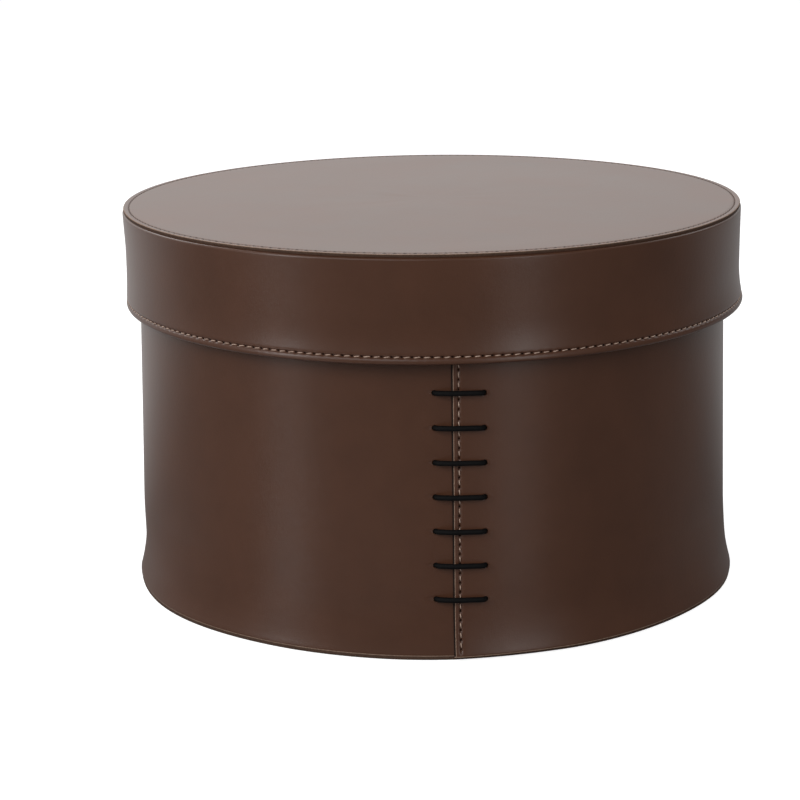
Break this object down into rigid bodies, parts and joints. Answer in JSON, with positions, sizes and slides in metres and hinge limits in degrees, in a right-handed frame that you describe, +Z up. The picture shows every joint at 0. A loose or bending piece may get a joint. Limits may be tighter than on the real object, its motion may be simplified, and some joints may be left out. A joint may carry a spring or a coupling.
{
  "type": "collar box",
  "caption": "Round leather collar box with a lift-off lid, a lapped front seam crossed by black lace bars, fibreboard stiffening and a cloth lining.",
  "frame": {"origin": "middle of the underside, on the ground", "axes": "+Z up, the laced seam faces -Y, +X to the viewer's right"},
  "size_m": [0.35, 0.35, 0.21],
  "materials": {
    "leather": "smooth dark brown saddle leather, satin",
    "fibreboard": "raw pressed fibreboard",
    "lining": "dark brown napped cloth",
    "thread": "waxed tan linen thread",
    "lace": "black round lace, waxed"
  },
  "bodies": {
    "box": {"sole_leather": "leather", "floor_board": "fibreboard", "floor_lining": "lining", "wall_leather": "leather", "wall_board": "fibreboard", "wall_lining": "lining", "seam_thread": "thread", "lace": "lace"},
    "lid": {"rim_leather": "leather", "rim_board": "fibreboard", "rim_lining": "lining", "top_leather": "leather", "top_board": "fibreboard", "top_lining": "lining", "top_thread": "thread", "hem_thread": "thread", "rim_seam_thread": "thread"}
  },
  "joints": [
    {"name": "lid_lift", "type": "slide", "parent": "box", "child": "lid", "axis": [0, 0, 1], "range_m": [0, 0.25]}
  ]
}
